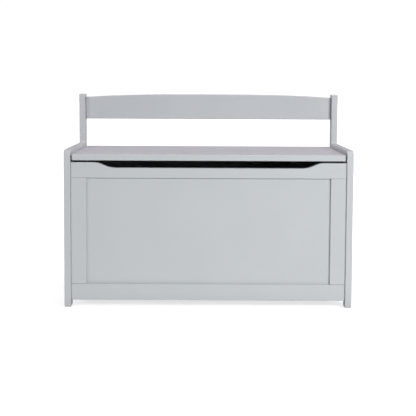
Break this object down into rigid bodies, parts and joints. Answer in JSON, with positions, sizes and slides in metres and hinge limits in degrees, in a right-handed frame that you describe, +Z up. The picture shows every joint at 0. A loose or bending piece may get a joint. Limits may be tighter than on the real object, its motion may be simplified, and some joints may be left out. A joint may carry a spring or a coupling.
{
  "type": "wooden toy box bench",
  "caption": "Painted wooden toy box with a hinged seat lid, a framed front with a finger scoop, and side boards that rise into posts with a crowned backrest rail.",
  "frame": {"origin": "on the floor under the middle of the box", "axes": "+X along the width to the right as seen from the front, +Y from the front to the back, +Z up"},
  "size_m": [0.84, 0.415, 0.62],
  "materials": {
    "painted_board": "light grey satin paint on smooth board, edges slightly rounded",
    "painted_batten": "light grey satin paint, thinner than on the boards",
    "beech_dowel": "fluted beech, unfinished",
    "zinc_fastener": "bright zinc plating",
    "hinge_steel": "nickel-plated pressed steel",
    "hinge_sleeve": "black acetal",
    "buffer_rubber": "translucent soft buffer",
    "glide_plastic": "pale nylon"
  },
  "bodies": {
    "box": {"left_side_panel": "painted_board", "right_side_panel": "painted_board", "front_top_rail": "painted_board", "front_bottom_rail": "painted_board", "front_left_stile": "painted_board", "front_right_stile": "painted_board", "front_panel": "painted_board", "back_panel": "painted_board", "bottom_panel": "painted_board", "front_bottom_batten": "painted_batten", "back_bottom_batten": "painted_batten", "left_bottom_batten": "painted_batten", "right_bottom_batten": "painted_batten", "bottom_brace": "painted_batten", "left_lid_cleat": "painted_batten", "right_lid_cleat": "painted_batten", "lid_bumpers": "buffer_rubber", "backrest_rail": "painted_board", "foot_glides": "glide_plastic", "frame_dowels": "beech_dowel", "side_dowels": "beech_dowel", "connecting_bolts": "zinc_fastener", "barrel_nuts": "zinc_fastener", "batten_screws": "zinc_fastener", "bottom_screws": "zinc_fastener", "left_hinge_base": "hinge_steel", "right_hinge_base": "hinge_steel", "hinge_sleeves": "hinge_sleeve", "hinge_base_screws": "zinc_fastener"},
    "lid": {"lid_board": "painted_board", "left_hinge_leaf": "hinge_steel", "right_hinge_leaf": "hinge_steel", "hinge_pins": "zinc_fastener", "hinge_leaf_screws": "zinc_fastener"}
  },
  "joints": [
    {"name": "lid_hinge", "type": "hinge", "parent": "box", "child": "lid", "pos_m": [0, 0.2005, 0.4284], "axis": [-1, 0, 0], "range_deg": [0, 65]}
  ]
}
